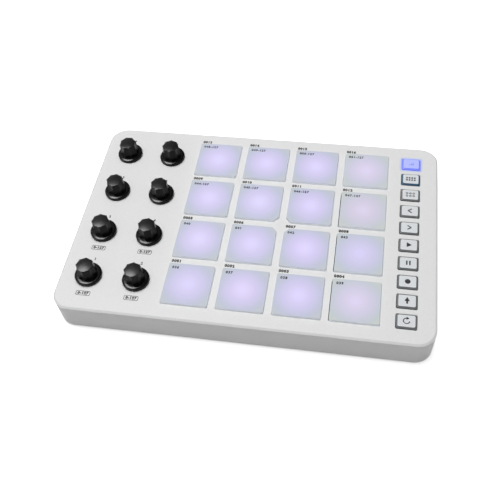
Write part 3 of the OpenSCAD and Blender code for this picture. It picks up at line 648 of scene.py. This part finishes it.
# The print under the satin face is pale and a little uneven
face_pale = grained("pale_key_print", "#DCDFE2", "#E3E5E8", 1.2, (0.38, 0.5), 0.0, {"IOR": 1.49})
face_lit = grained("key_print_lit_blue", "#8A92D8", "#949CDC", 1.2, (0.38, 0.5), 0.0, {
    "IOR": 1.49, "Emission Color": linear("#8088C4"), "Emission Strength": 1.0,
})
legend_ink = grained("key_legend_ink", "#303234", "#46484A", 0.6, (0.4, 0.5), 0.0, {"IOR": 1.48})
legend_lit = grained("key_legend_ink_lit_blue", "#5860B4", "#6068BC", 0.6, (0.4, 0.5), 0.0, {
    "IOR": 1.48, "Emission Color": linear("#6870B8"), "Emission Strength": 1.0,
})


def on_face(x, y, turn):
    """Returns a place on a key's face, turned by an angle."""
    return Matrix.Translation((x, y, key_top)) @ Matrix.Rotation(math.radians(turn), 4, "Z")


def bar(bm, x, y, width, depth, turn=0.0):
    """Stamps a straight bar on a key's face."""
    size = Matrix.Diagonal((width, depth, 2 * ink_height, 1))
    bmesh.ops.create_cube(bm, size=1.0, matrix=on_face(x, y, turn) @ size)


def disc(bm, x, y, radius, sides=32, turn=0.0):
    """Stamps a disc, or a triangle with three sides, on a key's face."""
    bmesh.ops.create_cone(bm, cap_ends=True, segments=sides, radius1=radius, radius2=radius,
                          depth=2 * ink_height, matrix=on_face(x, y, turn))


def ring(bm, x, y, radius, line, start=0.0, sweep=360.0):
    """Stamps a round line, open or closed, on a key's face."""
    size = Matrix.Diagonal((line, 2 * ink_height, 1, 1))
    section = bmesh.ops.create_grid(
        bm, x_segments=1, y_segments=1, size=0.5,
        matrix=on_face(x, y, start) @ Matrix.Translation((radius, 0, 0)) @ upright @ size,
    )["verts"]
    face = section[0].link_faces[0]
    bmesh.ops.spin(bm, geom=[face, *face.edges, *face.verts], cent=(x, y, key_top), axis=(0, 0, 1),
                   angle=math.radians(sweep), steps=24, use_merge=sweep == 360.0)


def stamp(bm, number, x, y):
    """Stamps the plain sign of a key's function."""
    if number == 1:  # three bars that rise to the right
        pitch, width, middle, rise, drop = 1.2, 0.8, 1.3, 0.8, 0.6
        for step in (-1, 0, 1):
            bar(bm, x + pitch * step, y - drop + rise / 2 * step, width, middle + rise * step)
    if number == 2:  # two rows of four blocks
        pitch, row_y, width, depth = 1.75, 0.95, 1.15, 1.25
        for column in (-1.5, -0.5, 0.5, 1.5):
            for end in (-1, 1):
                bar(bm, x + pitch * column, y + row_y * end, width, depth)
    if number == 3:  # two rows of three rings
        pitch, row_y, radius, line = 2.2, 1.1, 0.6, 0.42
        for column in (-1, 0, 1):
            for end in (-1, 1):
                ring(bm, x + pitch * column, y + row_y * end, radius, line)
    if number in (4, 5):  # an arrow head to the left or right
        side = -1 if number == 4 else 1
        arm_y, length, line, lean = 0.78, 3.0, 0.8, 34
        for end in (-1, 1):
            bar(bm, x, y + arm_y * end, length, line, -side * end * lean)
    if number == 6:  # play
        radius, shift = 2.15, 0.25
        disc(bm, x - shift, y, radius, 3, -90)
    if number == 7:  # pause
        bar_x, width, depth = 0.95, 0.95, 3.3
        for side in (-1, 1):
            bar(bm, x + bar_x * side, y, width, depth)
    if number == 8:  # a dot
        disc(bm, x, y, radius=1.75)
    if number == 9:  # an arrow upwards
        line, stem, stem_y, head, head_y = 1.1, 2.0, 1.0, 1.9, 0.75
        bar(bm, x, y - stem_y, line, stem)
        disc(bm, x, y + head_y, head, 3)
    if number == 10:  # an arrow that runs round
        radius, line, start, sweep, head, head_x = 1.85, 0.62, 70, 285, 1.15, 0.5
        ring(bm, x, y, radius, line, start, sweep)
        disc(bm, x + head_x, y + radius, head, 3, -90)


for number, y in enumerate(key_rows, 1):
    cap = bmesh.new()
    spot = (key_x, y, 0)
    lip_under = lip_top - key_lip_t
    foot = square_loop(cap, (key_x, y, lip_under), [h + key_lip for h in key_half], key_corner + key_lip)
    shoulder = carry(cap, foot, spot, key_half, [
        (key_lip, lip_under), (key_lip, lip_top), (0, lip_top), (0, key_foot),
    ] + [(out - key_bevel, key_top - down) for out, down in key_rim])
    drawn = set(cap.faces)
    close(cap, shoulder)
    paint_new(cap, drawn, cap_face)
    root = circle_loop(cap, (key_x + switch_shift, y, lip_under), key_pin_r, 24)
    fill(cap, foot + root)
    pin_end = carry(cap, root, spot, (1, 1), [(0, lip_under), (0, key_pin_end)])
    close(cap, pin_end)
    drawn = set(cap.faces)
    stamp(cap, number, key_x, y)
    paint_new(cap, drawn, cap_legend)
    name = f"key_{number:02d}"
    if number == 1:
        finishes = [smoky_lit, face_lit, legend_lit]
    else:
        finishes = [smoky_painted_blue_spill if number == 2 else smoky_grey, face_pale, legend_ink]
    finish_piece(cap, f"cap_{name}", name, finishes, [name])

# Pad mat and sensor film
# The silicone lattice between the pads is clamped under the panel, on a printed film of polyester that
# feels how hard each pad is hit.


def dress(material, *names):
    """Gives the solids of the frame their finish."""
    for name in names:
        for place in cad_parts[name].material_slots:
            place.material = material


# Clear silicone with a dusty skin
dress(grained("clear_silicone", "#CFD2D6", "#DADDE0", 1.5, (0.5, 0.65), 0.05, {
    "IOR": 1.41, "Subsurface Weight": 0.2, "Subsurface Radius": (0.002, 0.002, 0.002),
}), "pad_mat")

# Amber polyester film, printed with carbon bands 7.5 mm wide. The wave has 20 radians to a unit.
film_band, wave_radians = 7.54, 20
film = new_material("printed_polyester_film")
film_bands = add_node(film, "TexWave", {
    "Vector": add_node(film, "TexCoord").outputs["Object"],
    "Scale": 1000 * math.pi / film_band / wave_radians, "Distortion": 0.0,
})
film_tone = add_node(film, "ValToRGB", {0: film_bands.outputs["Fac"]})
for stop, place, colour in zip(film_tone.color_ramp.elements, (0.48, 0.52), ("#B98A3C", "#3A3630")):
    stop.position, stop.color = place, linear(colour)
film_surface = add_node(film, "BsdfPrincipled", {"Base Color": film_tone, "Roughness": 0.3, "IOR": 1.57})
add_node(film, "OutputMaterial", {"Surface": film_surface})
dress(film, "sensor_film")

# Main board
# A glass laminate board under green solder mask carries the lamps, encoders, key switches, sockets and
# chips. Three short screws hold it to the housing's bosses.

# Solder mask is a glossy lacquer over copper tracks, which show as paler lines 3 mm apart
track_pitch, track_row = 3.0, 0.25
mask = new_material("green_solder_mask")
mask_tracks = add_node(mask, "TexBrick", {
    "Vector": add_node(mask, "TexCoord").outputs["Object"], "Scale": 1000 * track_row / track_pitch,
    "Color1": linear("#0E4426"), "Color2": linear("#0B3B21"), "Mortar": linear("#2A6A3E"),
    "Mortar Size": 0.03, "Brick Width": 1.6, "Row Height": track_row,
})
mask_gloss = add_node(mask, "MapRange", {
    "Value": mask_tracks.outputs["Fac"], "To Min": 0.22, "To Max": 0.34,
})
mask_surface = add_node(mask, "BsdfPrincipled", {
    "Base Color": mask_tracks.outputs["Color"], "Roughness": mask_gloss, "IOR": 1.55,
})
add_node(mask, "OutputMaterial", {"Surface": mask_surface})
dress(mask, "main_board")

# Lamp packages are glossy white nylon with a clear drop; chips are matt black epoxy; the switches are
# satin black; encoder cans are pressed from tinned sheet and the shafts are turned aluminium
lamp_nylon = grained("white_lamp_nylon", "#E6E6E0", "#F2F2EC", 0.8, (0.2, 0.35), 0.0, {"IOR": 1.53})
dress(lamp_nylon, "board_leds")
epoxy = grained("black_epoxy", "#17181A", "#222326", 0.5, (0.5, 0.7), 0.1, {"IOR": 1.55})
dress(epoxy, "control_chips")
black_nylon = grained("moulded_black_nylon", "#141516", "#1E1F20", 0.8, (0.35, 0.5), 0.05, {"IOR": 1.53})
dress(black_nylon, "key_switches", "power_switch")
tinned = grained("tinned_sheet", "#A9ABAD", "#C4C6C8", 2.5, (0.28, 0.42), 0.05, {"Metallic": 1.0})
dress(tinned, "encoder_bodies")
turned = grained("turned_aluminium", "#BFC1C3", "#D2D4D6", 0.4, (0.25, 0.38), 0.08, {"Metallic": 1.0})
dress(turned, *[f"encoder_shaft_{number}" for number in range(1, 9)])

# Screws
# Zinc plated pan heads with a cross recess: six long ones come up through the cover and the board into
# the housing's bosses, and three short ones hold the board alone.
screw_r, head_r, head_h, head_soft = 1.5, 2.75, 1.8, 0.7
recess_arm, recess_depth, screw_bite, tip_h, tip_taper = 1.5, 1.1, 5.0, 0.6, 0.5
zinc = grained("zinc_plated_steel", "#9FA3A8", "#BDC1C6", 0.7, (0.25, 0.4), 0.05, {"Metallic": 1.0})


def screw(bm, x, y, bearing, tip):
    """Adds a screw whose head bears upwards at one height and whose tip ends at another."""
    low = bearing - head_h
    floor = bmesh.ops.create_grid(bm, x_segments=3, y_segments=3, size=recess_arm,
                                  matrix=Matrix.Translation((x, y, low + recess_depth)))["verts"]
    corners = [v for v in floor if min(abs(v.co.x - x), abs(v.co.y - y)) > recess_arm / 2]
    bmesh.ops.delete(bm, geom=corners, context="VERTS")
    cross = {e for v in floor if v.is_valid for e in v.link_edges if e.is_boundary}
    mouth = carry(bm, list(cross), (x, y, 0), (1, 1), [(0, low + recess_depth), (0, low)])
    crown = circle_loop(bm, (x, y, low), head_r - head_soft, 32)
    fill(bm, mouth + crown)
    inset, shank = head_soft * arc_middle, screw_r - head_r
    end = carry(bm, crown, (x, y, 0), (head_r,) * 2, [
        (-head_soft, low), (-inset, low + inset), (0, low + head_soft), (0, bearing),
        (shank, bearing), (shank, tip - tip_h), (shank - tip_taper, tip),
    ])
    close(bm, end)


bearing_h = 2.0
long_screws = bmesh.new()
for x in (left_boss, right_boss):
    for y in boss_rows:
        screw(long_screws, x, y, foot_h + bearing_h, board_top + screw_bite)
finish_piece(long_screws, "cross_head_screws", "chassis", [zinc], ["housing_screws"])
short_screws = bmesh.new()
for y in boss_rows:
    screw(short_screws, middle_boss, y, board_under, board_top + screw_bite)
finish_piece(short_screws, "cross_head_board_screws", "chassis", [zinc], ["board_screws"])

# Rear sockets
# The USB socket is a shell of nickel plated steel, drawn to a round-ended tube, with a black tongue that
# carries gilded contacts. Beside it a ribbed black slider switches the power.
usb_half, usb_sheet, usb_length, usb_lip = (4.47, 1.63), 0.3, 7.35, 0.1
usb_sink, usb_back = 0.3, 1.0
tongue_half, tongue_sink, tongue_soft, tongue_end = (3.35, 0.35), 1.0, 0.1, 0.5
contact_count, contact_pitch, contact_size, contact_sink = 12, 0.5, (0.25, 3.2, 0.06), 2.2
tongue_nylon, contact_gilt = 1, 2
usb_mouth = rear - usb_sink
tongue_y = usb_mouth - tongue_sink
nickel = grained("nickel_plated_steel", "#B4B5B6", "#C8C9CA", 1.0, (0.16, 0.26), 0.02, {"Metallic": 1.0})
gilt = grained("gilded_contact", "#D9B25A", "#E8C674", 0.5, (0.2, 0.3), 0.0, {"Metallic": 1.0})

socket = bmesh.new()
socket_spot = (usb_x, 0, usb_z)
lip = rear_loop(socket, usb_x, usb_mouth - usb_lip, usb_z, usb_half, usb_half[1] - near)
inner_end = carry(socket, lip, socket_spot, usb_half, [
    (0, usb_mouth - usb_lip), (-usb_lip, usb_mouth), (usb_lip - usb_sheet, usb_mouth),
    (-usb_sheet, usb_mouth - usb_lip), (-usb_sheet, usb_mouth - usb_length + usb_back),
], along=1)
close(socket, inner_end)
outer_end = carry(socket, lip, socket_spot, usb_half, [
    (0, usb_mouth - usb_lip), (0, usb_mouth - usb_length),
], along=1)
close(socket, outer_end)
tip_half = [h - tongue_soft for h in tongue_half]
tongue_tip = rear_loop(socket, usb_x, tongue_y, usb_z, tip_half, tongue_soft)
drawn = set(socket.faces)
close(socket, tongue_tip)
tongue_root = carry(socket, tongue_tip, socket_spot, tongue_half, [
    (-tongue_soft, tongue_y), (0, tongue_y - tongue_soft), (0, usb_mouth - usb_length + tongue_end),
], along=1)
close(socket, tongue_root)
paint_new(socket, drawn, tongue_nylon)
drawn = set(socket.faces)
for contact in range(contact_count):
    contact_x = usb_x + contact_pitch * (contact - (contact_count - 1) / 2)
    for side in (-1, 1):
        spot = (contact_x, tongue_y - contact_sink, usb_z + side * tongue_half[1])
        bmesh.ops.create_cube(
            socket, size=1.0, matrix=Matrix.Translation(spot) @ Matrix.Diagonal((*contact_size, 1))
        )
paint_new(socket, drawn, contact_gilt)
finish_piece(
    socket, "usb_socket_shell", "chassis", [nickel, black_nylon, gilt], ["usb_socket"]
)

slider_w, slider_h, slider_sink, slider_back, slider_travel = 3.0, 1.6, 0.1, 74.7, 2.0
ridge_steps, ridge_depth, ridge_soft = 9, 0.25, 0.04
slider_x, slider_face = power_x - slider_travel / 2, rear - slider_sink
slider = bmesh.new()
ribs = bmesh.ops.create_grid(
    slider, x_segments=ridge_steps, y_segments=1, size=1.0,
    matrix=Matrix.Translation((slider_x, slider_face, power_z)) @ upright
    @ Matrix.Diagonal((slider_w / 2, slider_h / 2, 1, 1)),
)["verts"]
rib_faces = sorted({f for v in ribs for f in v.link_faces}, key=lambda f: f.calc_center_median().x)
grooves = rib_faces[1::2]
rim = [e for e in slider.edges if e.is_boundary]
slider_end = carry(slider, rim, (slider_x, 0, power_z), (1, 1), [
    (0, slider_face), (0, slider_back),
], along=1)
close(slider, slider_end)
bmesh.ops.inset_individual(slider, faces=grooves, thickness=ridge_soft)
for face in grooves:
    bmesh.ops.translate(slider, vec=(0, -ridge_depth, 0), verts=list(face.verts))
finish_piece(slider, "ribbed_slider", "power_slider", [black_nylon], ["power_slider"])

# Battery
# A flat lithium cell in an aluminium foil pouch lies in a fence on the cover. Two wires with a silicone
# jacket, one red and one black, run from it to a nylon connector under the board.
dress(grained("foil_pouch", "#A8ABAF", "#C9CCD0", 5.0, (0.26, 0.4), 0.3, {"Metallic": 0.8}), "battery")
natural_nylon = grained("natural_nylon", "#D9D2BE", "#E4DECC", 1.0, (0.4, 0.55), 0.03, {"IOR": 1.53})
dress(natural_nylon, "battery_socket")
battery_x = -84.325
jacket = new_material("red_and_black_silicone_jacket")
jacket_place = add_node(jacket, "SeparateXYZ", {0: add_node(jacket, "TexCoord").outputs["Object"]})
jacket_side = add_node(jacket, "Math", {
    0: jacket_place.outputs["X"], 1: battery_x / 1000,
}, operation="GREATER_THAN")
jacket_tone = add_node(jacket, "ValToRGB", {0: jacket_side})
jacket_tone.color_ramp.elements[0].color = linear("#18181A")
jacket_tone.color_ramp.elements[1].color = linear("#A81E1E")
jacket_surface = add_node(jacket, "BsdfPrincipled", {
    "Base Color": jacket_tone, "Roughness": 0.45, "IOR": 1.43,
})
add_node(jacket, "OutputMaterial", {"Surface": jacket_surface})
dress(jacket, "battery_lead")

# Bottom cover and feet
# The cover is a grey ABS plate, moulded with posts, pillars and a fence, and finished with a coarse
# grain outside. Four rubber feet are pressed into its recesses.
grey_abs = grained("moulded_grey_abs", "#4E5052", "#5C5E60", 1.1, (0.5, 0.66), 0.25, {"IOR": 1.52})
dress(grey_abs, "bottom_cover")

foot_r, foot_top, foot_round, foot_spots = 6.0, 2.1, 0.8, (101.5, 61.0)
tread_r, tread_w, tread_depth = 4.0, 0.6, 0.3
# Moulded rubber is nearly black and dull, with a bloom that is drawn at 1.5 mm
rubber = grained("moulded_rubber", "#161616", "#222222", 1.5, (0.7, 0.85), 0.1, {"IOR": 1.52})
feet = bmesh.new()
for x in (-foot_spots[0], foot_spots[0]):
    for y in (-foot_spots[1], foot_spots[1]):
        tread = circle_loop(feet, (x, y, 0), tread_r)
        roof = carry(feet, tread, (x, y, 0), (foot_r,) * 2, [(tread_r - foot_r, 0), (-foot_round, 0)] + [
            (-foot_round * (1 - math.sin(t)), foot_round * (1 - math.cos(t)))
            for t in (math.radians(a) for a in (30, 60, 90))
        ] + [(0, foot_top)])
        close(feet, roof)
        middle = carry(feet, tread, (x, y, 0), (tread_r,) * 2, [
            (0, 0), (0, tread_depth), (-tread_w, tread_depth), (-tread_w, 0),
        ])
        close(feet, middle)
finish_piece(feet, "rubber_foot_set", "chassis", [rubber], ["rubber_feet"])

# Knobs
# Eight push-on knobs, moulded in black ABS: eight hollow flats meet in sharp corners under a slightly
# domed top, and a thin round skirt hides the hole in the panel. Each stands where it was last turned.
skirt_r, rim_h, slope_h, skirt_under, knob_top = 8.8, 2.0, 0.5, top_z + 0.3, top_z + 12.6
grip_r, grip_draft, flat_depth, flat_angle, dome_h = 5.8, 0.6, 0.66, math.radians(45), 0.58
shaft_bore_r, recess_top, shaft_bore_top = 3.05, top_z + 2.0, top_z + 11.0
knob_angles, knob_steps = (4, 6, 11, -4, -1, -8, 26, 4), 96
# Small radii, as steps inwards and down: on the skirt's rim, where its slope starts, where the grip
# stands on it, with flats a little deeper than above, and round the top
rim_round, slope_in, slope_up = ((0.0, 0.25), (0.05, 0.08)), 0.12, 0.02
foot_gap, foot_round_w, foot_round_h, foot_flute = 0.2, 0.1, 0.15, 1.2
top_round, top_soft = ((0.0, 0.1), (0.03, 0.03)), 0.09
slope_shares = (1.0, 0.9, 0.8, 0.7, 0.6, 0.5, 0.4, 0.2)
dome_shares = (1.0, 0.85, 0.7, 0.5, 0.3, 0.1)
knob_cap, knob_skirt = 1, 2
rim_top, grip_foot_r, shoulder_r = skirt_under + rim_h, grip_r + grip_draft, grip_r - top_soft
foot_z, shoulder_z = rim_top + slope_h, knob_top - dome_h

# Moulded black ABS has a satin gloss, with a skin that is uneven over a few millimetres. The top is
# smoother than the flats, and the skirt is polished, so the lamp on the left shows there as a streak.
black_finishes = [
    grained(name, "#090909", "#0E0E0E", 3.0, gloss, 0.015, {"IOR": 1.5, "Specular IOR Level": shine})
    for name, gloss, shine in (
        ("moulded_black_abs", (0.26, 0.32), 0.15), ("polished_black_abs", (0.28, 0.34), 0.8),
        ("glossy_black_abs", (0.18, 0.24), 0.65),
    )
]


def knob_ring(bm, edges, radius, flute, height=None):
    """Extrudes a knob's outline to a radius and height, or on to the domed top, hollowed at the flats."""
    verts, edges = extrude_loop(bm, edges)
    for v in verts:
        angle = math.atan2(v.co.y, v.co.x)
        share = abs((angle / flat_angle) % 1 - 0.5) * 2
        reach = radius - flute * flat_depth * (1 - share ** 2)
        dome = knob_top - dome_h * (reach / shoulder_r) ** 2
        v.co = (reach * math.cos(angle), reach * math.sin(angle), dome if height is None else height)
    return edges


slope_w = skirt_r - slope_in - (grip_foot_r + foot_gap)
slope = [
    (skirt_r - slope_in - (1 - u) * slope_w, 0, rim_top + slope_up + (slope_h - slope_up) * (1 - u ** 2))
    for u in slope_shares
]
profile = [(skirt_r - inward, 0, rim_top - down) for inward, down in rim_round] + slope + [
    (grip_foot_r + foot_round_w, foot_flute, foot_z), (grip_foot_r, foot_flute, foot_z + foot_round_h),
] + [(grip_r - inward, 1, shoulder_z - down) for inward, down in top_round] + [
    (shoulder_r * share, share, None) for share in dome_shares
]
for number, (x, y) in enumerate(knob_spots, 1):
    knob = bmesh.new()
    outer = circle_loop(knob, (0, 0, skirt_under), skirt_r, knob_steps)
    edges = outer
    for radius, flute, height in profile:
        edges = knob_ring(knob, edges, radius, flute, height)
    close(knob, edges)
    edges = outer
    for radius, height in (
        (knob_hole_r, skirt_under), (knob_hole_r, recess_top), (shaft_bore_r, recess_top),
        (shaft_bore_r, shaft_bore_top),
    ):
        edges = knob_ring(knob, edges, radius, 0, height)
    close(knob, edges)
    for face in knob.faces:
        low = min(v.co.z for v in face.verts)
        if low > shoulder_z - near:
            face.material_index = knob_cap
        elif rim_top < low < foot_z - near:
            face.material_index = knob_skirt
    turned_by = Matrix.Rotation(math.radians(knob_angles[number - 1]), 4, "Z")
    bmesh.ops.transform(knob, matrix=Matrix.Translation((x, y, 0)) @ turned_by, verts=knob.verts)
    name = f"knob_{number}"
    finish_piece(knob, f"grip_{name}", name, black_finishes, [name], crease=40)
